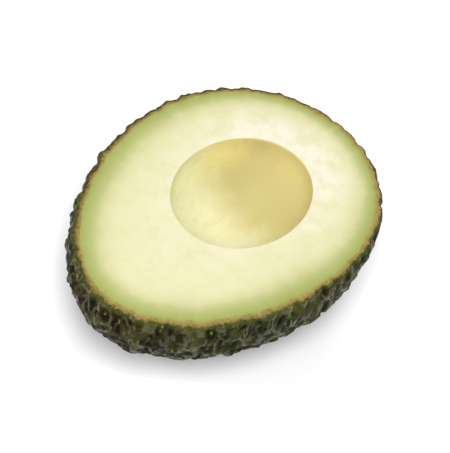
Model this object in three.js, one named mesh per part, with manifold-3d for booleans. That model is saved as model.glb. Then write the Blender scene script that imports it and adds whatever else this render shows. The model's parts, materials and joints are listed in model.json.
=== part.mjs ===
// Half an avocado without its stone, lying on its rounded back with the cut face up.
// +X runs along the fruit from the stem end to the broad end, and +Z is the cut face's normal.
// The origin is at the bottom centre of the bounding box. Units are millimetres.

import * as THREE from 'three';
import { mergeVertices } from 'three/addons/utils/BufferGeometryUtils.js';
import Module from 'manifold-3d';

// The fruit: an egg whose long axis lies along X, wider towards +X.
const HALF_LENGTH = 47.5;
const HALF_WIDTH = 35.3;
const HALF_THICKNESS = 29;
const WIDTH_TAPER = 0.133;
const THICKNESS_TAPER = 0.06;
const SKIN_DETAIL = 22;

// The knife passed this far above the level where the fruit is widest.
const CUT_HEIGHT = 5.3;

// The stone left a hollow shaped like a smaller egg, nearer to the broad end.
const STONE_HALF_LENGTH = 21.7;
const STONE_RADIUS = 17.4;
const STONE_OFFSET = 6.9;
const STONE_CENTRE_DROP = 2.5;
const STONE_SEGMENTS = 40;
const STONE_RINGS = 22;

// Warts of the skin.
const WART_COUNT = 640;
const WART_RADIUS_LEAST = 2.5;
const WART_RADIUS_MOST = 4.1;
const WART_HEIGHT_LEAST = 0.45;
const WART_HEIGHT_MOST = 1.25;
const WART_SCATTER = 0.085;

// The lowest wart tips are worn level, so the half lies steady on a board.
const BASE_WEAR = 1.0;

const GOLDEN_ANGLE = Math.PI * (3 - Math.sqrt(5));

// Repeatable value from 0 to 1 for whole numbers a and b.
function scatter(a, b) {
  const wave = Math.sin(a * 12.9898 + b * 78.233) * 43758.5453;
  return wave - Math.floor(wave);
}

// The value a share of the way from least to most.
function between(least, most, share) {
  return least + (most - least) * share;
}

// Maps a point of the unit sphere onto the smooth skin.
function onSkin(unit) {
  return new THREE.Vector3(
    HALF_LENGTH * unit.x,
    HALF_WIDTH * (1 + WIDTH_TAPER * unit.x) * unit.y,
    HALF_THICKNESS * (1 + THICKNESS_TAPER * unit.x) * unit.z,
  );
}

// Outward direction of the smooth skin at a point of it.
function skinNormal(unit) {
  return new THREE.Vector3(
    unit.x / HALF_LENGTH,
    unit.y / (HALF_WIDTH * (1 + WIDTH_TAPER * unit.x)),
    unit.z / (HALF_THICKNESS * (1 + THICKNESS_TAPER * unit.x)),
  ).normalize();
}

// Wart centres on a golden-angle lattice, each moved a little from its even place.
function makeWarts() {
  const warts = [];
  for (let i = 0; i < WART_COUNT; i += 1) {
    const height = 1 - (2 * i + 1) / WART_COUNT;
    const ring = Math.sqrt(1 - height * height);
    const turn = i * GOLDEN_ANGLE;
    const unit = new THREE.Vector3(height, ring * Math.cos(turn), ring * Math.sin(turn));
    unit.x += WART_SCATTER * (scatter(i, 1) - 0.5);
    unit.y += WART_SCATTER * (scatter(i, 2) - 0.5);
    unit.z += WART_SCATTER * (scatter(i, 3) - 0.5);
    warts.push({
      centre: onSkin(unit.normalize()),
      height: between(WART_HEIGHT_LEAST, WART_HEIGHT_MOST, scatter(i, 4)),
      radius: between(WART_RADIUS_LEAST, WART_RADIUS_MOST, scatter(i, 5)),
    });
  }
  return warts;
}

// How far the warts lift the skin at a point: the tallest one that reaches it wins.
function wartLift(point, warts) {
  let lift = 0;
  for (const wart of warts) {
    const share = point.distanceToSquared(wart.centre) / (wart.radius * wart.radius);
    if (share < 1) {
      lift = Math.max(lift, wart.height * (1 - share));
    }
  }
  return lift;
}

// The whole fruit's outer surface: a geodesic sphere stretched to the egg and raised by the warts.
function makeFruitGeometry() {
  const geometry = new THREE.IcosahedronGeometry(1, SKIN_DETAIL);
  const warts = makeWarts();
  const position = geometry.attributes.position;
  const unit = new THREE.Vector3();
  for (let i = 0; i < position.count; i += 1) {
    unit.fromBufferAttribute(position, i).normalize();
    const point = onSkin(unit);
    point.addScaledVector(skinNormal(unit), wartLift(point, warts));
    position.setXYZ(i, point.x, point.y, point.z);
  }
  return geometry;
}

// The block of space that holds the kept half: below the cut, above the worn wart tips.
function makeSlabGeometry() {
  const base = -(HALF_THICKNESS + WART_HEIGHT_MOST - BASE_WEAR);
  const wide = 4 * HALF_LENGTH;
  const geometry = new THREE.BoxGeometry(wide, wide, CUT_HEIGHT - base);
  geometry.translate(0, 0, (CUT_HEIGHT + base) / 2);
  return geometry;
}

// The stone, as it lay in the flesh.
function makeStoneGeometry() {
  const geometry = new THREE.SphereGeometry(1, STONE_SEGMENTS, STONE_RINGS);
  geometry.scale(STONE_HALF_LENGTH, STONE_RADIUS, STONE_RADIUS);
  geometry.translate(STONE_OFFSET, 0, CUT_HEIGHT - STONE_CENTRE_DROP);
  return geometry;
}

// A closed three.js geometry as a manifold solid.
function toSolid(wasm, geometry) {
  geometry.deleteAttribute('normal');
  geometry.deleteAttribute('uv');
  const merged = mergeVertices(geometry, 1e-4);
  return new wasm.Manifold(new wasm.Mesh({
    numProp: 3,
    vertProperties: new Float32Array(merged.attributes.position.array),
    triVerts: new Uint32Array(merged.index.array),
  }));
}

// A manifold solid as a three.js geometry.
function toGeometry(solid) {
  const mesh = solid.getMesh();
  const geometry = new THREE.BufferGeometry();
  geometry.setAttribute('position', new THREE.BufferAttribute(mesh.vertProperties, mesh.numProp));
  geometry.setIndex(new THREE.BufferAttribute(mesh.triVerts, 1));
  return geometry;
}

// Moves the origin to the bottom centre of the geometry's bounding box.
function standOnOrigin(geometry) {
  geometry.computeBoundingBox();
  const box = geometry.boundingBox;
  const centre = box.getCenter(new THREE.Vector3());
  geometry.translate(-centre.x, -centre.y, -box.min.z);
}

const wasm = await Module();
wasm.setup();

const fruit = toSolid(wasm, makeFruitGeometry());
const slab = toSolid(wasm, makeSlabGeometry());
const stone = toSolid(wasm, makeStoneGeometry());
const halfGeometry = toGeometry(fruit.intersect(slab).subtract(stone));
standOnOrigin(halfGeometry);
halfGeometry.computeVertexNormals();

const avocadoHalf = new THREE.Mesh(
  halfGeometry,
  new THREE.MeshStandardMaterial({ color: 0xdfe0a0, roughness: 0.55, metalness: 0 }),
);
avocadoHalf.name = 'avocado_half';

const part = new THREE.Group();
part.add(avocadoHalf);

export default part;
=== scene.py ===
"""The looks of the avocado half: its warty peel, its flesh and the hollow that the stone left.

The fruit lies on its rounded back. +X runs from the stem end to the broad end and +Z is up.
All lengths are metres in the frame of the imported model; MM turns millimetres into metres.
"""

import json
import logging
import math
from dataclasses import dataclass, field
from enum import Enum

import bmesh
import bpy
from mathutils import Matrix, Vector, kdtree, noise


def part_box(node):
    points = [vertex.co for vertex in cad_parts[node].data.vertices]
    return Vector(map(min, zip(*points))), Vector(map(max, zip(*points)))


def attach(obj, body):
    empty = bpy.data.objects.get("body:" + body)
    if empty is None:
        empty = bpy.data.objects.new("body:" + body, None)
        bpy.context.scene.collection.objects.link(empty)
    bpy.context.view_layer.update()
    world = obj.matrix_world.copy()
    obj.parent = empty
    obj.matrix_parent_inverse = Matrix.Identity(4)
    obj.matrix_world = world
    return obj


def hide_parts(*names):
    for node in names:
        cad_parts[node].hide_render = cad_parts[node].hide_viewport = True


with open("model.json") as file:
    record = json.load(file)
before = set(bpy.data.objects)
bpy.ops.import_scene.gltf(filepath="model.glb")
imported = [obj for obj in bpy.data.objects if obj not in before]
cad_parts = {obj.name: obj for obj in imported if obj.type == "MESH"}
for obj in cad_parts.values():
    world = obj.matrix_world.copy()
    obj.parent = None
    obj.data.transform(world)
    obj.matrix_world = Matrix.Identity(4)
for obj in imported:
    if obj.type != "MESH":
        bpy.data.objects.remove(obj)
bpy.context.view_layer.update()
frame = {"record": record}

log = logging.getLogger("avocado_half")

Colour = tuple[float, float, float, float]

MM = 0.001
NODE = "avocado_half"
BODY = "root"
GOLDEN_ANGLE = math.pi * (3 - math.sqrt(5))
DRIFT_OFFSETS = (Vector((9.3, -1.5, -8.0)), Vector((0.0, 0.0, 0.0)), Vector((6.3, 11.2, 2.8)))
KNIFE_EDGE = math.radians(65)
# How far below z = 0 a point of a round blank still counts as on its flat top.
FLAT = 1e-5
# Points of a round blank that are closer than this are one.
SAME = 1e-6


class Zone(Enum):
    """The parts of a round half fruit's surface."""

    OUTSIDE = "outside"
    CUT = "cut"
    INSIDE = "inside"


class Axis(Enum):
    """The outputs of a Separate XYZ node."""

    LENGTH = "X"
    WIDTH = "Y"
    HEIGHT = "Z"


def linear(red: int, green: int, blue: int) -> Colour:
    """The linear colour of an 8-bit sRGB colour.

    Args:
        red: Red, 0 to 255.
        green: Green, 0 to 255.
        blue: Blue, 0 to 255.

    Returns:
        Linear red, green and blue, with an alpha of 1.
    """
    def channel(value: int) -> float:
        """One channel of it."""
        share = value / 255
        return share / 12.92 if share <= 0.04045 else ((share + 0.055) / 1.055) ** 2.4

    return channel(red), channel(green), channel(blue), 1.0


def smooth_step(low: float, high: float, value: float) -> float:
    """A smooth rise from 0 at low to 1 at high, which may be the smaller one.

    Args:
        low: Where the rise starts.
        high: Where it ends.
        value: The value to place.

    Returns:
        The height of the rise at value.
    """
    share = min(max((value - low) / (high - low), 0.0), 1.0)
    return share * share * (3 - 2 * share)


def scatter(a: int, b: int) -> float:
    """A repeatable value from 0 to 1 for two whole numbers.

    Args:
        a: The first number.
        b: The second number.

    Returns:
        The value.
    """
    wave = math.sin(a * 12.9898 + b * 78.233) * 43758.5453
    return wave - math.floor(wave)


def drift(place: Vector) -> Vector:
    """A repeatable noise vector: the library's own one differs between processes.

    Args:
        place: Where it is read.

    Returns:
        The vector, each part from -1 to 1.
    """
    return Vector([noise.noise(place + offset) for offset in DRIFT_OFFSETS])


# ---------------------------------------------------------------- shape of the fruit


@dataclass(frozen=True)
class Egg:
    """The fruit's smooth outer shape, an egg along X that the knife cut level above its axis."""

    axis_point: Vector
    half_length: float
    half_width: float
    half_depth: float
    cut_height: float
    width_taper: float = 0.133
    depth_taper: float = 0.06

    @classmethod
    def from_frame(cls) -> "Egg":
        """The egg whose warty half fills the CAD node's box."""
        wart_allowance = 0.86 * MM
        worn_tip = 0.25 * MM
        swell = 1.00865
        depth_share = 0.8215
        low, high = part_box(NODE)
        size = high - low
        half_width = (size.y / 2 - wart_allowance) / swell
        half_depth = depth_share * half_width
        cut_height = size.z - half_depth - worn_tip
        middle = (low + high) / 2
        return cls(
            axis_point=Vector((middle.x, middle.y, high.z - cut_height)),
            half_length=size.x / 2 - wart_allowance,
            half_width=half_width,
            half_depth=half_depth,
            cut_height=cut_height,
        )

    @property
    def top(self) -> float:
        """The height of the cut face."""
        return self.axis_point.z + self.cut_height

    def radii(self, along: float) -> tuple[float, float]:
        """Half the width and half the depth of the egg across its length.

        Args:
            along: -1 at the stem end to 1 at the broad end.

        Returns:
            Half the width and half the depth, in metres.
        """
        wide = self.half_width * (1 + self.width_taper * along)
        deep = self.half_depth * (1 + self.depth_taper * along)
        return wide, deep

    def point(self, unit: Vector) -> Vector:
        """The point of the smooth skin that a point of the unit sphere stands for.

        Args:
            unit: The point of the unit sphere.

        Returns:
            The point of the skin.
        """
        wide, deep = self.radii(unit.x)
        local = Vector((self.half_length * unit.x, wide * unit.y, deep * unit.z))
        return self.axis_point + local

    def normal(self, unit: Vector) -> Vector:
        """The outward direction of the smooth skin there."""
        wide, deep = self.radii(unit.x)
        return Vector((unit.x / self.half_length, unit.y / wide, unit.z / deep)).normalized()

    def lowered(self, direction: Vector, drop: float = 0.0) -> Vector:
        """Moves a direction of the lower half sphere so that its rim lies at the cut.

        Args:
            direction: A unit vector with z at or below 0; z = 0 stands for the rim.
            drop: How far below the cut the rim lies.

        Returns:
            The unit vector of the same place on the whole egg.
        """
        turn = math.atan2(direction.y, direction.x)
        height = self.cut_height - drop
        rim = height / self.half_depth
        for _ in range(3):
            along = math.cos(turn) * math.sqrt(1 - rim * rim)
            rim = height / self.radii(along)[1]
        fall = math.asin(min(1.0, -direction.z)) / (math.pi / 2)
        fall *= 0.75 + 0.25 * fall
        angle = math.asin(rim) * (1 - fall) - math.pi / 2 * fall
        level = math.cos(angle)
        return Vector((math.cos(turn) * level, math.sin(turn) * level, math.sin(angle)))


@dataclass(frozen=True)
class Skin:
    """The relief of the skin: warts on the CAD solid's lattice, and a net of fine ridges."""

    egg: Egg
    count: int = 640
    wart_scatter: float = 0.085
    least_height: float = 0.45 * MM
    most_height: float = 1.25 * MM
    wart_radius: float = 3.9 * MM
    cell_size: float = 3.2 * MM
    ridge_height: float = 0.8 * MM
    tree: kdtree.KDTree = field(init=False)
    heights: list[float] = field(init=False, default_factory=list)

    def __post_init__(self) -> None:
        """Places the warts."""
        tree = kdtree.KDTree(self.count)
        for i in range(self.count):
            level = 1 - (2 * i + 1) / self.count
            ring = math.sqrt(1 - level * level)
            turn = i * GOLDEN_ANGLE
            unit = Vector((level, ring * math.cos(turn), ring * math.sin(turn)))
            unit += self.wart_scatter * Vector([scatter(i, k) - 0.5 for k in (1, 2, 3)])
            tree.insert(self.egg.point(unit.normalized()), i)
            self.heights.append(
                self.least_height + (self.most_height - self.least_height) * scatter(i, 4)
            )
        tree.balance()
        object.__setattr__(self, "tree", tree)

    def swell(self, place: Vector) -> float:
        """How far the broad warts stand out from the smooth egg.

        Args:
            place: A point of the smooth egg.

        Returns:
            The height of the warts there, in metres.
        """
        bend = drift(place / (5.0 * MM)) * 1.3 * MM
        first, second = self.tree.find_n(place + bend, 2)
        edge = (second[2] - first[2]) / (2.2 * MM)
        dome = max(0.0, 1 - (first[2] / self.wart_radius) ** 2)
        wart = self.heights[first[1]] * (0.4 * smooth_step(0, 1, edge) + 0.6 * dome)
        waves = noise.noise(place / (9.0 * MM)) * 0.4 * MM
        return 0.7 * wart + waves - 0.1 * MM

    def net(self, place: Vector) -> float:
        """Where the fine ridges run.

        Args:
            place: A point of the smooth egg.

        Returns:
            1 on the crest of a ridge and 0 between ridges.
        """
        bend = drift(place / (2.6 * MM)) * 1.1 * MM
        drawn_out = place + bend
        drawn_out.z *= 0.36
        gaps = noise.voronoi(drawn_out / self.cell_size)[0]
        crest = 1 - smooth_step(0.0, 0.5, gaps[1] - gaps[0])
        stem_side = smooth_step(0.03, -0.03, place.x)
        below_rim = smooth_step(0.0, -5.0 * MM, place.z - self.egg.top)
        strength = 0.35 + 0.3 * max(stem_side, below_rim) + noise.noise(place / (6.0 * MM))
        return crest * min(max(strength, 0.3), 1.0)

    def lift(self, place: Vector) -> tuple[float, float]:
        """The whole relief.

        Args:
            place: A point of the smooth egg.

        Returns:
            How far the skin stands out from the smooth egg, and the share of a ridge there.
        """
        crest = self.net(place)
        drawn_out = Vector((place.x, place.y, 0.3 * place.z))
        folds = noise.noise(drawn_out / (2.2 * MM)) * 0.45 * MM
        pebble = noise.fractal(place / (1.6 * MM), 0.8, 2.0, 2) * 0.07 * MM
        ridges = self.ridge_height * crest - 0.05 * MM
        return self.swell(place) + folds + ridges + pebble, crest


@dataclass(frozen=True)
class Hollow:
    """The egg-shaped hollow that the stone left in the cut face."""

    centre: Vector
    half_length: float = 21.7 * MM
    radius: float = 17.4 * MM
    drop: float = 2.5 * MM

    @classmethod
    def from_frame(cls) -> "Hollow":
        """The hollow round the opening that the record states."""
        openings = frame["record"]["physics"]["openings"]
        low, high = (Vector(corner) for corner in openings[0]["box_m"])
        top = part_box(NODE)[1].z
        return cls(centre=Vector(((low.x + high.x) / 2, (low.y + high.y) / 2, top)))

    def edge(self, turn: float) -> Vector:
        """A point of the hollow's edge in the cut face.

        Args:
            turn: The angle about the hollow's centre.

        Returns:
            The point.
        """
        shrink = math.sqrt(1 - (self.drop / self.radius) ** 2)
        across = Vector((self.half_length * math.cos(turn), self.radius * math.sin(turn), 0))
        return self.centre + across * shrink

    def wall(self, turn: float, fall: float) -> Vector:
        """A point of the wall.

        Args:
            turn: The angle about the hollow's centre.
            fall: 0 at the edge to 1 at the bottom.

        Returns:
            The point.
        """
        start = math.asin(self.drop / self.radius)
        angle = start * (1 - fall) - math.pi / 2 * fall
        level = math.cos(angle)
        return self.centre + Vector((
            self.half_length * level * math.cos(turn),
            self.radius * level * math.sin(turn),
            self.radius * math.sin(angle) - self.drop,
        ))


# ---------------------------------------------------------------- mesh helpers


def spun(profile: list[Vector], steps: int, finer: int) -> bmesh.types.BMesh:
    """A closed surface made by turning a profile about Z and dividing its faces.

    Args:
        profile: Points in the XZ plane, from the axis back to the axis.
        steps: Segments in the turn.
        finer: Into how many parts every edge is divided.

    Returns:
        The closed bmesh.
    """
    bm = bmesh.new()
    points = [bm.verts.new(p) for p in profile]
    edges = [bm.edges.new(pair) for pair in zip(points, points[1:])]
    bmesh.ops.spin(
        bm, geom=points + edges, cent=(0, 0, 0), axis=(0, 0, 1), dvec=(0, 0, 0),
        angle=2 * math.pi, steps=steps, use_merge=True,
    )
    bmesh.ops.remove_doubles(bm, verts=bm.verts, dist=SAME)
    bmesh.ops.subdivide_edges(bm, edges=bm.edges, cuts=finer - 1, use_grid_fill=True)
    bmesh.ops.recalc_face_normals(bm, faces=bm.faces)
    return bm


def arc(radius: float, rings: int, down: bool) -> list[Vector]:
    """A quarter circle in the XZ plane between the rim and the bottom of a round bowl.

    Args:
        radius: The bowl's radius.
        rings: Steps along the arc.
        down: Whether it runs down from the rim, or up from the bottom.

    Returns:
        Its points, ends included.
    """
    angles = [math.pi / 2 * i / rings for i in range(rings + 1)]
    points = [Vector((radius * math.cos(a), 0, -radius * math.sin(a))) for a in angles]
    points[-1].x = 0
    return points if down else points[::-1]


def level_run(start: float, end: float, steps: int) -> list[Vector]:
    """The points between two radii of a round blank's flat top, without its ends."""
    return [Vector((start + (end - start) * i / steps, 0, 0)) for i in range(1, steps)]


def to_object(bm: bmesh.types.BMesh, name: str) -> bpy.types.Object:
    """Turns a bmesh into an object, smooth-shaded but for its knife edges, and frees it.

    Args:
        bm: The bmesh.
        name: What the object and its mesh are called.

    Returns:
        The object, already in the scene.
    """
    mesh = bpy.data.meshes.new(name)
    bm.to_mesh(mesh)
    bm.free()
    mesh.shade_smooth()
    mesh.set_sharp_from_angle(angle=KNIFE_EDGE)
    made = bpy.data.objects.new(name, mesh)
    bpy.context.scene.collection.objects.link(made)
    return made


# ---------------------------------------------------------------- shader helpers


class Grain:
    """The mottled noise that the finishes share, as one node group."""

    NAME = "grain"

    @classmethod
    def group(cls) -> bpy.types.NodeTree:
        """The node group, built when it is first asked for."""
        return bpy.data.node_groups.get(cls.NAME) or cls.build()

    @classmethod
    def build(cls) -> bpy.types.NodeTree:
        """Builds the group: noise on Object coordinates that can be stretched and shifted."""
        tree = bpy.data.node_groups.new(cls.NAME, "ShaderNodeTree")
        for name, kind in (
            ("Stretch", "NodeSocketVector"), ("Shift", "NodeSocketVector"),
            ("Scale", "NodeSocketFloat"), ("Detail", "NodeSocketFloat"),
            ("Roughness", "NodeSocketFloat"),
        ):
            tree.interface.new_socket(name, in_out="INPUT", socket_type=kind)
        tree.interface.new_socket("Fac", in_out="OUTPUT", socket_type="NodeSocketFloat")
        given = tree.nodes.new("NodeGroupInput")
        place = tree.nodes.new("ShaderNodeTexCoord")
        mapping = tree.nodes.new("ShaderNodeMapping")
        pattern = tree.nodes.new("ShaderNodeTexNoise")
        result = tree.nodes.new("NodeGroupOutput")
        for source, target in (
            (place.outputs["Object"], mapping.inputs["Vector"]),
            (given.outputs["Shift"], mapping.inputs["Location"]),
            (given.outputs["Stretch"], mapping.inputs["Scale"]),
            (mapping.outputs["Vector"], pattern.inputs["Vector"]),
            (given.outputs["Scale"], pattern.inputs["Scale"]),
            (given.outputs["Detail"], pattern.inputs["Detail"]),
            (given.outputs["Roughness"], pattern.inputs["Roughness"]),
            (pattern.outputs["Fac"], result.inputs["Fac"]),
        ):
            tree.links.new(source, target)
        return tree


class Nodes:
    """A material's node tree, with short ways to add and join nodes."""

    def __init__(self, material: bpy.types.Material) -> None:
        """Opens the material's tree and finds its shader."""
        material.use_nodes = True
        self.tree = material.node_tree
        self.shader = next(n for n in self.tree.nodes if n.type == "BSDF_PRINCIPLED")

    def add(self, kind: str, **values: object) -> bpy.types.Node:
        """Adds a node.

        Args:
            kind: The node's type.
            **values: Its properties by name, and the values of its inputs by theirs.

        Returns:
            The node.
        """
        node = self.tree.nodes.new(kind)
        for key, value in values.items():
            if hasattr(node, key):
                setattr(node, key, value)
            else:
                node.inputs[key.replace("_", " ")].default_value = value
        return node

    def join(self, source: bpy.types.NodeSocket, target: bpy.types.NodeSocket) -> None:
        """Links an output to an input."""
        self.tree.links.new(source, target)

    def feed(self, socket: bpy.types.NodeSocket, value: object) -> None:
        """Links a socket to an input, or sets the input to a number or colour.

        Args:
            socket: The input.
            value: What it gets.
        """
        if isinstance(value, bpy.types.NodeSocket):
            self.join(value, socket)
        else:
            socket.default_value = value

    def attribute(self, name: str) -> bpy.types.NodeSocket:
        """A number stored on the mesh."""
        return self.add("ShaderNodeAttribute", attribute_name=name).outputs["Fac"]

    def place(self, axis: Axis) -> bpy.types.NodeSocket:
        """One of the Object coordinates."""
        split = self.add("ShaderNodeSeparateXYZ")
        self.join(self.add("ShaderNodeTexCoord").outputs["Object"], split.inputs[0])
        return split.outputs[axis.value]

    def grain(self, size: float, detail: float = 3.0, roughness: float = 0.55,
              stretch: tuple[float, float, float] = (1, 1, 1), seed: float = 0.0,
              ) -> bpy.types.NodeSocket:
        """A noise pattern from 0 to 1.

        Args:
            size: The size of its blotches, in metres.
            detail: Octaves.
            roughness: Weight of the finer octaves.
            stretch: How much finer it is along each axis.
            seed: Shifts the pattern.

        Returns:
            The pattern's output.
        """
        node = self.add("ShaderNodeGroup", node_tree=Grain.group())
        node.inputs["Stretch"].default_value = stretch
        node.inputs["Shift"].default_value = (seed, seed, seed)
        node.inputs["Scale"].default_value = 1 / size
        node.inputs["Detail"].default_value = detail
        node.inputs["Roughness"].default_value = roughness
        return node.outputs["Fac"]

    def cells(self, size: float, feature: str, stretch: tuple[float, float, float] = (1, 1, 1),
              bend: float = 0.0) -> bpy.types.NodeSocket:
        """A cell pattern.

        Args:
            size: The size of its cells, in metres.
            feature: What it measures, an option of the Voronoi Texture node.
            stretch: How much finer it is along each axis.
            bend: How far noise shifts it, in metres.

        Returns:
            The distance that it measures, in cells.
        """
        mapping = self.add("ShaderNodeMapping")
        mapping.inputs["Scale"].default_value = stretch
        place = self.add("ShaderNodeTexCoord").outputs["Object"]
        self.join(place, mapping.inputs["Vector"])
        waves = self.add("ShaderNodeTexNoise", Scale=0.7 / size, Detail=2.0)
        self.join(place, waves.inputs["Vector"])
        bent = self.add("ShaderNodeVectorMath", operation="MULTIPLY_ADD")
        self.join(waves.outputs["Color"], bent.inputs[0])
        bent.inputs[1].default_value = (bend, bend, bend)
        self.join(mapping.outputs["Vector"], bent.inputs[2])
        node = self.add("ShaderNodeTexVoronoi", feature=feature, Scale=1 / size)
        self.join(bent.outputs[0], node.inputs["Vector"])
        return node.outputs["Distance"]

    def math(self, operation: str, a: object, b: object = 0.0) -> bpy.types.NodeSocket:
        """A calculation with two sockets or numbers.

        Args:
            operation: The Math node's operation.
            a: The first socket or number.
            b: The second.

        Returns:
            The result.
        """
        node = self.add("ShaderNodeMath", operation=operation)
        self.feed(node.inputs[0], a)
        self.feed(node.inputs[1], b)
        return node.outputs[0]

    def wander(self, value: bpy.types.NodeSocket, pattern: bpy.types.NodeSocket,
               reach: float) -> bpy.types.NodeSocket:
        """A value shifted up and down by a pattern.

        Args:
            value: The value.
            pattern: A pattern from 0 to 1.
            reach: Twice the largest shift.

        Returns:
            The shifted value.
        """
        shift = self.math("MULTIPLY", self.math("SUBTRACT", pattern, 0.5), reach)
        return self.math("ADD", value, shift)

    def spread(self, value: bpy.types.NodeSocket, low: float, high: float,
               to_low: float = 0.0, to_high: float = 1.0) -> bpy.types.NodeSocket:
        """Maps a range of a value smoothly onto another range.

        Args:
            value: The value.
            low: The start of its range.
            high: The end of its range.
            to_low: What low becomes.
            to_high: What high becomes.

        Returns:
            The mapped value.
        """
        node = self.add("ShaderNodeMapRange", interpolation_type="SMOOTHSTEP")
        for name, number in zip(
            ("From Min", "From Max", "To Min", "To Max"), (low, high, to_low, to_high)
        ):
            node.inputs[name].default_value = number
        self.join(value, node.inputs["Value"])
        return node.outputs["Result"]

    def ramp(self, value: bpy.types.NodeSocket,
             stops: list[tuple[float, Colour]]) -> bpy.types.NodeSocket:
        """A colour ramp.

        Args:
            value: The value that it reads.
            stops: Places from 0 to 1 and their linear colours.

        Returns:
            The colour.
        """
        node = self.add("ShaderNodeValToRGB")
        elements = node.color_ramp.elements
        while len(elements) < len(stops):
            elements.new(0.5)
        for element, (place, colour) in zip(elements, stops):
            element.position = place
            element.color = colour
        self.join(value, node.inputs["Fac"])
        return node.outputs["Color"]

    def mix(self, share: object, a: object, b: object) -> bpy.types.NodeSocket:
        """Mixes two colours.

        Args:
            share: The share of the second, a socket or a number.
            a: The first colour or socket.
            b: The second colour or socket.

        Returns:
            The mixed colour.
        """
        node = self.add("ShaderNodeMix", data_type="RGBA")
        for socket, value in zip((node.inputs[0], node.inputs[6], node.inputs[7]), (share, a, b)):
            self.feed(socket, value)
        return node.outputs[2]

    def bump(self, height: bpy.types.NodeSocket, depth: float,
             under: bpy.types.NodeSocket | None = None) -> bpy.types.NodeSocket:
        """A bump, over another one if given.

        Args:
            height: Its pattern, from 0 to 1.
            depth: Its depth, in metres.
            under: The normal of the bump below it.

        Returns:
            The normal.
        """
        node = self.add("ShaderNodeBump", Strength=1.0, Distance=depth)
        self.join(height, node.inputs["Height"])
        if under is not None:
            self.join(under, node.inputs["Normal"])
        return node.outputs["Normal"]


# ---------------------------------------------------------------- finishes


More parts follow.
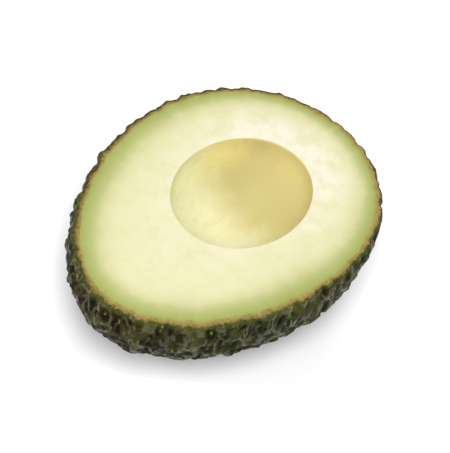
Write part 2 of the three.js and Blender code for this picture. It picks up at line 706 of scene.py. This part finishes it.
@dataclass(frozen=True)
class PeelFinish:
    """Dark, warty, satin peel outside, and the tan layer of it that the knife laid bare."""

    top: float
    dark: Colour = linear(27, 27, 9)
    green: Colour = linear(38, 46, 13)
    brown: Colour = linear(32, 23, 14)
    # Near-black colour for painted shade in the pits and towards the bottom, and for the dark
    # streaks.
    shade_and_streak_dark: Colour = linear(11, 10, 4)
    # Lighter ridge tone, also laid on the crests as painted highlight.
    crest: Colour = linear(90, 88, 44)
    fresh: Colour = linear(78, 84, 32)
    dot: Colour = linear(118, 124, 56)
    line_cell: float = 2.5 * MM
    line_bend: float = 2.0 * MM
    dot_cell: float = 1.9 * MM
    dot_bend: float = 0.8 * MM
    pore_depth: float = 0.05 * MM
    pebble_depth: float = 0.3 * MM
    line_depth: float = 0.35 * MM
    rind_width: float = 2.6 * MM

    def make(self) -> bpy.types.Material:
        """Builds the material."""
        material = bpy.data.materials.new("peel")
        nodes = Nodes(material)
        bare = nodes.spread(nodes.attribute("peel_depth"), 0.0, 0.14)
        skin = nodes.spread(bare, 0.0, 1.0, 1.0, 0.0)
        lines = nodes.math("MULTIPLY", self.lines(nodes), skin)
        colour = nodes.mix(bare, self.outside(nodes, lines), self.layer(nodes))
        nodes.join(colour, nodes.shader.inputs["Base Color"])
        dull = nodes.spread(nodes.grain(2.2 * MM), 0.3, 0.7, 0.52, 0.68)
        rough = nodes.math("SUBTRACT", dull, nodes.math("MULTIPLY", lines, 0.25))
        nodes.join(rough, nodes.shader.inputs["Roughness"])
        waxy = nodes.spread(lines, 0.05, 0.8, 0.01, 0.4)
        nodes.join(nodes.math("MULTIPLY", waxy, skin), nodes.shader.inputs["Coat Weight"])
        nodes.join(self.relief(nodes, lines), nodes.shader.inputs["Normal"])
        nodes.shader.inputs["Specular IOR Level"].default_value = 0.04
        nodes.shader.inputs["Specular Tint"].default_value = (1.0, 0.93, 0.76, 1.0)
        nodes.shader.inputs["Coat Roughness"].default_value = 0.2
        return material

    def lines(self, nodes: Nodes) -> bpy.types.NodeSocket:
        """Thin winding crests in the skin, drawn out down its sides.

        Args:
            nodes: The material's nodes.

        Returns:
            1 on a crest and 0 beside it.
        """
        gap = nodes.cells(self.line_cell, "DISTANCE_TO_EDGE", (1, 1, 0.33), self.line_bend)
        thin = nodes.spread(gap, 0.0, 0.2, 1, 0)
        broken = nodes.spread(nodes.grain(3.6 * MM, seed=0.4), 0.38, 0.62, 0.1, 1)
        # Fades the crests out towards the bottom, so their painted highlight and coat stay off
        # the underside that the lamps don't reach.
        upper = nodes.spread(nodes.place(Axis.HEIGHT), 8 * MM, 20 * MM, 0.15, 1)
        return nodes.math("MULTIPLY", thin, nodes.math("MULTIPLY", broken, upper))

    def relief(self, nodes: Nodes, lines: bpy.types.NodeSocket) -> bpy.types.NodeSocket:
        """The pores, pebbles and hair-fine crests that are too small to be in the mesh.

        Args:
            nodes: The material's nodes.
            lines: The thin crests.

        Returns:
            The normal.
        """
        pores = nodes.bump(nodes.grain(0.4 * MM, detail=4, roughness=0.6), self.pore_depth)
        grains = nodes.grain(1.0 * MM, stretch=(1, 1, 0.55))
        pebbles = nodes.bump(grains, self.pebble_depth, pores)
        return nodes.bump(lines, self.line_depth, pebbles)

    def outside(self, nodes: Nodes, lines: bpy.types.NodeSocket) -> bpy.types.NodeSocket:
        """The colour of the outer skin, with painted shade in the pits and towards the bottom and
        painted highlight on the crests.

        Args:
            nodes: The material's nodes.
            lines: The thin crests.

        Returns:
            The colour.
        """
        patches = nodes.spread(nodes.grain(6 * MM, detail=4), 0.42, 0.62)
        colour = nodes.mix(patches, self.dark, self.green)
        across = nodes.math("SUBTRACT", nodes.place(Axis.WIDTH), nodes.place(Axis.LENGTH))
        sunny = nodes.wander(across, nodes.grain(3.5 * MM, seed=0.31), 50 * MM)
        colour = nodes.mix(nodes.spread(sunny, 8 * MM, 38 * MM, 0.05, 0.92), colour, self.brown)
        height = nodes.attribute("lift")
        # Painted shade: the pits between the warts are darkened by their low relief height.
        colour = nodes.mix(nodes.spread(height, 0.7, 0.25, 0, 0.9), colour, self.shade_and_streak_dark)
        streaks = nodes.grain(1.5 * MM, stretch=(1, 1, 0.25), seed=0.83)
        # Dark streaks drawn out down the sides: a pattern in the skin itself.
        colour = nodes.mix(nodes.spread(streaks, 0.5, 0.64, 0, 0.75), colour, self.shade_and_streak_dark)
        ridge = nodes.wander(nodes.attribute("ridge"), nodes.grain(0.8 * MM), 0.5)
        # Lighter crests: partly the skin's own ridge tone, partly painted highlight for the
        # glints on the ridges.
        colour = nodes.mix(nodes.spread(ridge, 0.4, 1.0, 0, 0.28), colour, self.crest)
        colour = nodes.mix(nodes.math("MULTIPLY", lines, 0.45), colour, self.crest)
        below = nodes.wander(nodes.place(Axis.HEIGHT), nodes.grain(2 * MM, seed=0.6), 2 * MM)
        rind = nodes.spread(below, self.top - self.rind_width, self.top, 0, 0.6)
        colour = nodes.mix(rind, colour, self.fresh)
        # Painted shade: the peel darkens towards the bottom in place of shade the floor's bounce
        # light lifts.
        colour = nodes.mix(nodes.spread(below, 19 * MM, 8 * MM, 0, 0.7), colour, self.shade_and_streak_dark)
        gap = nodes.cells(self.dot_cell, "F1", (1, 1, 0.45), self.dot_bend)
        dots = nodes.spread(gap, 0.07, 0.28, 1, 0)
        some = nodes.spread(nodes.grain(3.0 * MM, detail=3, seed=0.77), 0.36, 0.6, 0.08, 0.8)
        return nodes.mix(nodes.math("MULTIPLY", dots, some), colour, self.dot)

    def layer(self, nodes: Nodes) -> bpy.types.NodeSocket:
        """The colour of the cut through the peel, from the outside to the flesh.

        Args:
            nodes: The material's nodes.

        Returns:
            The colour.
        """
        far_side = nodes.spread(nodes.place(Axis.WIDTH), -10 * MM, 25 * MM)
        depth = nodes.wander(nodes.attribute("peel_depth"), nodes.grain(1.1 * MM, seed=0.5), 0.9)
        depth = nodes.math("SUBTRACT", depth, nodes.math("MULTIPLY", far_side, 0.28))
        colour = nodes.ramp(depth, [
            (0.0, linear(52, 49, 25)),
            (0.2, linear(90, 81, 44)),
            (0.45, linear(132, 115, 65)),
            (0.68, linear(148, 129, 73)),
            (0.86, linear(150, 139, 77)),
            (1.0, linear(146, 147, 79)),
        ])
        broad_end = nodes.spread(nodes.place(Axis.LENGTH), 10 * MM, 38 * MM, 0, 0.7)
        colour = nodes.mix(nodes.math("MULTIPLY", broad_end, nodes.spread(depth, 0.2, 0.5)),
                           colour, linear(160, 133, 76))
        olive = nodes.spread(nodes.grain(1.8 * MM, detail=2, seed=0.55), 0.44, 0.72, 0, 0.5)
        colour = nodes.mix(olive, colour, linear(108, 104, 54))
        flecks = nodes.spread(nodes.grain(0.5 * MM, detail=2, seed=0.15), 0.56, 0.72, 0, 0.5)
        return nodes.mix(flecks, colour, linear(174, 144, 84))


@dataclass(frozen=True)
class FleshFinish:
    """Moist flesh, green under the peel, cream inside, tan-yellow in the stone's hollow."""

    hollow: Hollow

    def make(self) -> bpy.types.Material:
        """Builds the material."""
        material = bpy.data.materials.new("flesh")
        nodes = Nodes(material)
        in_hollow = nodes.spread(nodes.attribute("hollow_way"), 0.002, 0.02)
        colour = nodes.mix(in_hollow, self.face(nodes), self.lining(nodes))
        nodes.join(colour, nodes.shader.inputs["Base Color"])
        streaks = nodes.bump(nodes.grain(1.4 * MM, stretch=(0.12, 1, 1)), 0.03 * MM)
        fine = nodes.bump(nodes.grain(0.7 * MM, detail=4), 0.025 * MM, streaks)
        nodes.join(fine, nodes.shader.inputs["Normal"])
        wet = nodes.spread(nodes.grain(5 * MM), 0.3, 0.7, 0.5, 0.6)
        nodes.join(wet, nodes.shader.inputs["Roughness"])
        nodes.shader.inputs["Subsurface Weight"].default_value = 0.25
        nodes.shader.inputs["Subsurface Radius"].default_value = (1.0, 0.85, 0.5)
        nodes.shader.inputs["Subsurface Scale"].default_value = 2.0 * MM
        nodes.shader.inputs["Specular IOR Level"].default_value = 0.22
        return material

    def face(self, nodes: Nodes) -> bpy.types.NodeSocket:
        """The colour of the cut face.

        Args:
            nodes: The material's nodes.

        Returns:
            The colour.
        """
        from_peel = nodes.attribute("from_peel")
        blur = nodes.wander(from_peel, nodes.grain(7 * MM), 0.2)
        steady = nodes.spread(from_peel, 0.02, 0.3)
        asked = nodes.math("ADD", from_peel, nodes.math(
            "MULTIPLY", nodes.math("SUBTRACT", blur, from_peel), steady,
        ))
        broad_end = nodes.ramp(asked, [
            (0.0, linear(150, 148, 80)),
            (0.035, linear(150, 156, 86)),
            (0.09, linear(155, 163, 95)),
            (0.17, linear(168, 173, 112)),
            (0.27, linear(187, 187, 136)),
            (0.42, linear(203, 201, 158)),
            (0.62, linear(213, 209, 175)),
            (1.0, linear(222, 217, 197)),
        ])
        middle = nodes.place(Axis.LENGTH)
        stem_side = nodes.spread(nodes.wander(middle, nodes.grain(14 * MM), 30 * MM),
                                 0.035, -0.03, 0.0, 0.75)
        yellow = nodes.math("MULTIPLY", stem_side, nodes.spread(from_peel, 0.2, 0.6))
        colour = nodes.mix(yellow, broad_end, linear(208, 204, 163))
        cloud = nodes.spread(nodes.grain(6 * MM, detail=5, roughness=0.65, seed=0.2),
                             0.42, 0.66, 0, 0.5)
        inland = nodes.math("MULTIPLY", cloud, nodes.spread(from_peel, 0.1, 0.4))
        colour = nodes.mix(inland, colour, linear(201, 198, 148))
        fibre = nodes.grain(1.1 * MM, detail=4, stretch=(0.3, 1, 1), seed=0.66)
        return nodes.mix(nodes.spread(fibre, 0.5, 0.72, 0, 0.14), colour, linear(190, 186, 130))

    def lining(self, nodes: Nodes) -> bpy.types.NodeSocket:
        """The colour of the hollow's lining, deeper towards the broad end; its gradients are
        partly the lining's own tone and partly painted light and shade.

        Args:
            nodes: The material's nodes.

        Returns:
            The colour.
        """
        reach = self.hollow.half_length
        centre = self.hollow.centre.x
        middle = nodes.wander(nodes.place(Axis.LENGTH), nodes.grain(6 * MM), 0.35 * reach)
        # Paler towards the stem end and deeper towards the broad end: partly the lining's tone,
        # partly painted light on the stem-end wall and painted shade at the broad end.
        pale = nodes.spread(middle, centre + 0.58 * reach, centre - 0.08 * reach)
        colour = nodes.ramp(pale, [
            (0.0, linear(189, 178, 121)),
            (0.5, linear(207, 202, 156)),
            (1.0, linear(219, 217, 178)),
        ])
        way = nodes.attribute("hollow_way")
        # Wall tone, lighter on the +Y wall and paler towards the stem end: partly the lining's
        # tone, partly painted light and shade.
        side = nodes.spread(nodes.place(Axis.WIDTH), 0.37 * reach, 0.65 * reach)
        wall = nodes.mix(side, linear(203, 189, 130), linear(222, 208, 141))
        wall = nodes.mix(pale, wall, linear(226, 224, 176))
        # Near the edge the lining takes the lighter wall tone: painted light against the shade
        # below the edge.
        colour = nodes.mix(nodes.spread(way, 0.5, 0.15), colour, wall)
        lip = nodes.math("MULTIPLY", nodes.spread(pale, 0.0, 0.6, 1, 0),
                         nodes.spread(way, 0.05, 0.01, 0, 0.6))
        colour = nodes.mix(lip, colour, linear(232, 212, 130))
        veins = nodes.spread(
            nodes.grain(1.3 * MM, detail=5, stretch=(0.2, 1, 1), seed=0.9), 0.48, 0.75, 0, 0.25
        )
        return nodes.mix(veins, colour, linear(190, 170, 108))


# ---------------------------------------------------------------- the fruit's pieces


@dataclass
class Peel:
    """The peel: a thin closed bowl with a warty outside and its cut rim."""

    egg: Egg
    skin: Skin
    thickness: float = 1.3 * MM
    shoulder: float = 0.3 * MM
    coarse_segments: int = 135
    outer_rings: int = 40
    inner_rings: int = 3
    rim_rings: int = 2
    finer: int = 4
    round_wall: float = 0.5
    outside_share: float = 0.004
    inside_share: float = 0.999
    rim_line: list[Vector] = field(init=False)

    def __post_init__(self) -> None:
        """Works out where the wall between peel and flesh meets the cut."""
        self.rim_line = [
            self.inner_point(Vector((math.cos(turn), math.sin(turn), 0)))
            for turn in (2 * math.pi * i / self.segments for i in range(self.segments))
        ]

    @property
    def segments(self) -> int:
        """The number of segments round the finished rim."""
        return self.coarse_segments * self.finer

    def segment(self, co: Vector) -> int:
        """The number of the segment that a point of the round blank lies on."""
        return round(math.atan2(co.y, co.x) / (2 * math.pi) * self.segments) % self.segments

    def inner_point(self, direction: Vector, deeper: float = 0.0) -> Vector:
        """A point of the wall between peel and flesh.

        Args:
            direction: A direction of the lower half sphere.
            deeper: How far inside that wall it lies.

        Returns:
            The point.
        """
        unit = self.egg.lowered(direction)
        smooth, normal = self.egg.point(unit), self.egg.normal(unit)
        uneven = noise.noise(smooth / (2.5 * MM)) * 0.22 * MM
        follow = 0.6 * self.skin.swell(smooth)
        place = smooth + normal * (follow + uneven - self.thickness - deeper)
        return self.level(place, direction, 0.0)

    def outer_point(self, direction: Vector) -> tuple[Vector, float, float]:
        """A point of the warty outside.

        Args:
            direction: A direction of the lower half sphere.

        Returns:
            The point, how far it stands out and its share of a ridge.
        """
        drop = self.rounding(direction)
        unit = self.egg.lowered(direction, drop)
        smooth = self.egg.point(unit)
        lift, crest = self.skin.lift(smooth)
        place = smooth + self.egg.normal(unit) * lift
        return self.level(place, direction, drop), lift, crest

    def rounding(self, direction: Vector) -> float:
        """How far the peel's outer edge falls below the cut, most at the stem end.

        Args:
            direction: A direction of the lower half sphere.

        Returns:
            The fall, in metres.
        """
        flat = Vector((direction.x, direction.y, 0))
        side = flat.normalized() if flat.length > SAME else Vector((1, 0, 0))
        return self.shoulder * (1.0 - 0.45 * side.x + 0.8 * noise.noise(side * 9))

    def level(self, place: Vector, direction: Vector, drop: float) -> Vector:
        """Keeps rim points at their height, and everything between the cut and the board.

        Args:
            place: The point, which is moved.
            direction: Its direction on the lower half sphere.
            drop: How far below the cut its highest place lies.

        Returns:
            The point.
        """
        top = self.egg.top - drop
        on_rim = direction.z > -FLAT
        place.z = top if on_rim else min(max(place.z, 0.0), top)
        return place

    def build(self) -> bpy.types.Object:
        """Spins a round shell and shapes it into the peel.

        Returns:
            The object.
        """
        wall = self.round_wall
        profile = arc(1.0, self.outer_rings, down=False)
        profile += level_run(1.0, wall, self.rim_rings)
        profile += arc(wall, self.inner_rings, down=True)
        bm = spun(profile, self.coarse_segments, self.finer)
        layers = [bm.verts.layers.float.new(name) for name in ("peel_depth", "lift", "ridge")]
        for vertex in bm.verts:
            through = min(max((1 - vertex.co.length) / (1 - wall), 0.0), 1.0)
            vertex.co, lift, crest = self.shell_point(vertex.co, through)
            for layer, value in zip(layers, (through, lift, crest)):
                vertex[layer] = value
        bmesh.ops.recalc_face_normals(bm, faces=bm.faces)
        return to_object(bm, "peel")

    def shell_point(self, co: Vector, through: float) -> tuple[Vector, float, float]:
        """Where a point of the round shell goes.

        Args:
            co: The point of the round shell.
            through: 0 outside, 1 on the wall towards the flesh, between them on the rim.

        Returns:
            Its place on the peel, its height in the relief from 0 to 1, and its ridge share.
        """
        direction = co.normalized()
        if through > self.inside_share:
            return self.inner_point(direction), 0.5, 0.0
        outside, lift, crest = self.outer_point(direction)
        height = smooth_step(-0.5 * MM, 1.1 * MM, lift)
        if through < self.outside_share:
            return outside, height, crest
        place = outside.lerp(self.rim_line[self.segment(co)], through)
        slope = max(0.0, 1 - through / 0.6) ** 2
        place.z = self.egg.top - self.rounding(direction) * slope
        return place, height, crest

    def dress(self, piece: bpy.types.Object) -> None:
        """Gives the piece its finish and body, and hides the CAD part that it replaces.

        Args:
            piece: The object that build made.
        """
        piece.data.materials.append(PeelFinish(self.egg.top).make())
        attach(piece, BODY)
        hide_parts(NODE)


@dataclass
class Flesh:
    """The flesh: solid, level on top, with the stone's hollow."""

    peel: Peel
    hollow: Hollow
    gap: float = 0.02 * MM
    reach: float = 20 * MM
    face_rings: int = 11
    hollow_rings: int = 10
    round_mouth: float = 0.5
    mouth_margin: float = 1e-4

    def build(self) -> bpy.types.Object:
        """Spins a round half fruit with a round hollow and shapes it into the flesh.

        Returns:
            The object.
        """
        mouth = self.round_mouth
        profile = arc(1.0, self.peel.inner_rings, down=False)
        profile += level_run(1.0, mouth, self.face_rings)
        profile += arc(mouth, self.hollow_rings, down=True)
        bm = spun(profile, self.peel.coarse_segments, self.peel.finer)
        outline = self.outline()
        from_peel = bm.verts.layers.float.new("from_peel")
        way = bm.verts.layers.float.new("hollow_way")
        for vertex in bm.verts:
            zone = self.zone(vertex.co)
            if zone is Zone.OUTSIDE:
                direction = vertex.co.normalized()
                vertex.co = self.peel.inner_point(direction, self.gap * -direction.z)
            elif zone is Zone.CUT:
                width = self.green_width(vertex.co)
                vertex.co = self.face_point(vertex.co)
                vertex[from_peel] = outline.find(vertex.co)[2] / self.reach / width
            else:
                turn = math.atan2(vertex.co.y, vertex.co.x)
                fall = math.asin(min(1.0, -vertex.co.z / mouth)) / (math.pi / 2)
                vertex.co = self.wall_point(turn, fall)
                vertex[from_peel] = 1.0
                vertex[way] = fall
        bmesh.ops.recalc_face_normals(bm, faces=bm.faces)
        return to_object(bm, "flesh")

    def zone(self, co: Vector) -> Zone:
        """Which part of the round half fruit a point is on.

        Args:
            co: The point.

        Returns:
            The part.
        """
        if co.z > -FLAT:
            return Zone.CUT if co.length > self.round_mouth + self.mouth_margin else Zone.INSIDE
        return Zone.OUTSIDE if co.length > (1 + self.round_mouth) / 2 else Zone.INSIDE

    def green_width(self, co: Vector) -> float:
        """How wide the green under the peel is: narrow at the broad end.

        Args:
            co: A point of the round blank's flat top.

        Returns:
            The share of the usual width.
        """
        side = co.normalized()
        two_ends = side.x ** 2 - side.y ** 2
        return 0.83 - 0.2 * side.x - 0.11 * two_ends + 0.18 * noise.noise(side * 2.2)

    def outline(self) -> kdtree.KDTree:
        """The line in the cut where flesh meets peel, to measure distances from.

        Returns:
            A tree of its points.
        """
        tree = kdtree.KDTree(len(self.peel.rim_line))
        for i, place in enumerate(self.peel.rim_line):
            tree.insert(place, i)
        tree.balance()
        return tree

    def face_point(self, co: Vector) -> Vector:
        """A point of the cut face, part way from the peel to the hollow's edge.

        Args:
            co: The point of the round blank's flat top.

        Returns:
            Its place on the face.
        """
        turn = math.atan2(co.y, co.x)
        share = (1 - co.length) / (1 - self.round_mouth)
        outer = self.peel.rim_line[self.peel.segment(co)]
        place = outer.lerp(self.hollow.edge(turn), share)
        inland = smooth_step(0, 0.15, share) * smooth_step(1, 0.85, share)
        place.z += inland * noise.noise(place / (16 * MM)) * 0.12 * MM
        return place

    def wall_point(self, turn: float, fall: float) -> Vector:
        """A point of the hollow's wall, slightly uneven below its edge.

        Args:
            turn: The angle about the hollow's centre.
            fall: 0 at the edge to 1 at the bottom.

        Returns:
            The point.
        """
        place = self.hollow.wall(turn, fall)
        toward = (self.hollow.centre - place).normalized()
        uneven = noise.noise(place / (8 * MM)) * 0.25 * MM * smooth_step(0, 0.1, fall)
        return place + toward * uneven

    def dress(self, piece: bpy.types.Object) -> None:
        """Gives the piece its finish and body, and hides the CAD part that it replaces.

        Args:
            piece: The object that build made.
        """
        piece.data.materials.append(FleshFinish(self.hollow).make())
        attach(piece, BODY)
        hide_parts(NODE)


# ---------------------------------------------------------------- stage


@dataclass(frozen=True)
class Lamp:
    """A softbox: where it stands, its size and its power."""

    name: str
    place: Vector
    size: tuple[float, float]
    power: float

    def hang(self, aim: Vector) -> None:
        """Puts the softbox in the scene.

        Args:
            aim: The point that it faces.
        """
        data = bpy.data.lights.new(self.name, "AREA")
        data.shape = "RECTANGLE"
        data.size, data.size_y = self.size
        data.energy = self.power
        lamp = bpy.data.objects.new(self.name, data)
        lamp.location = self.place
        lamp.rotation_euler = (aim - self.place).to_track_quat("-Z", "Y").to_euler()
        bpy.context.scene.collection.objects.link(lamp)


@dataclass(frozen=True)
class Studio:
    """A pale floor, soft light from above and from both sides, and the camera."""

    azimuth: float = math.radians(-61.69)
    elevation: float = math.radians(47.65)
    roll: float = math.radians(16.05)
    distance: float = 515 * MM
    lens: float = 157.54
    shift_y: float = -0.0469
    floor_size: float = 3.0

    def build(self, aim: Vector) -> None:
        """Sets up the whole studio.

        Args:
            aim: The point that the camera and lamps face.
        """
        self.lay_floor()
        self.hang_lights(aim)
        self.place_camera(aim)

    def lay_floor(self) -> None:
        """Lays the floor that the fruit lies on."""
        bm = bmesh.new()
        bmesh.ops.create_grid(bm, x_segments=4, y_segments=4, size=self.floor_size / 2)
        floor = to_object(bm, "studio_floor")
        material = bpy.data.materials.new("studio_floor")
        nodes = Nodes(material)
        nodes.shader.inputs["Base Color"].default_value = (0.92, 0.92, 0.92, 1)
        nodes.shader.inputs["Roughness"].default_value = 0.9
        nodes.shader.inputs["Specular IOR Level"].default_value = 0.1
        floor.data.materials.append(material)

    def hang_lights(self, aim: Vector) -> None:
        """Hangs the softboxes and sets the sky's glow.

        Args:
            aim: The point that the softboxes face.
        """
        lamps = [
            Lamp("softbox_front", Vector((-0.50, -0.28, 0.86)), (0.36, 0.52), 10.3),
            Lamp("softbox_back", Vector((0.40, 0.30, 0.90)), (0.6, 0.6), 2.4),
            Lamp("softbox_left", Vector((-0.52, 0.50, 0.30)), (0.12, 0.5), 2.4),
            Lamp("softbox_right", Vector((0.45, -0.62, 0.30)), (0.12, 0.5), 2.4),
        ]
        for lamp in lamps:
            lamp.hang(aim)
        world = bpy.data.worlds.new("studio_sky")
        world.use_nodes = True
        sky = next(n for n in world.node_tree.nodes if n.type == "BACKGROUND")
        sky.inputs["Color"].default_value = (1, 1, 1, 1)
        sky.inputs["Strength"].default_value = 0.2
        bpy.context.scene.world = world

    def place_camera(self, aim: Vector) -> None:
        """Places the camera and turns its picture by the roll.

        Args:
            aim: The point that it faces.
        """
        data = bpy.data.cameras.new("camera")
        data.sensor_width = 36
        data.lens = self.lens
        data.shift_y = self.shift_y
        data.clip_start, data.clip_end = 0.01, 10
        camera = bpy.data.objects.new("camera", data)
        level = math.cos(self.elevation)
        back = Vector((
            math.sin(self.azimuth) * level,
            -math.cos(self.azimuth) * level,
            math.sin(self.elevation),
        ))
        turned = (-back).to_track_quat("-Z", "Y").to_matrix().to_4x4()
        rolled = turned @ Matrix.Rotation(self.roll, 4, "Z")
        camera.matrix_world = Matrix.Translation(aim + back * self.distance) @ rolled
        bpy.context.scene.collection.objects.link(camera)
        bpy.context.scene.camera = camera
        bpy.context.scene.view_settings.view_transform = "Standard"


def main() -> None:
    """Builds the fruit's pieces and the studio."""
    egg = Egg.from_frame()
    hollow = Hollow.from_frame()
    peel = Peel(egg, Skin(egg))
    for part in (peel, Flesh(peel, hollow)):
        piece = part.build()
        part.dress(piece)
        log.info("%s: %d faces", piece.name, len(piece.data.polygons))
    Studio().build(egg.axis_point + Vector((0, 0, egg.cut_height)))


if __name__ == "__main__":
    logging.basicConfig(level=logging.INFO)
    main()
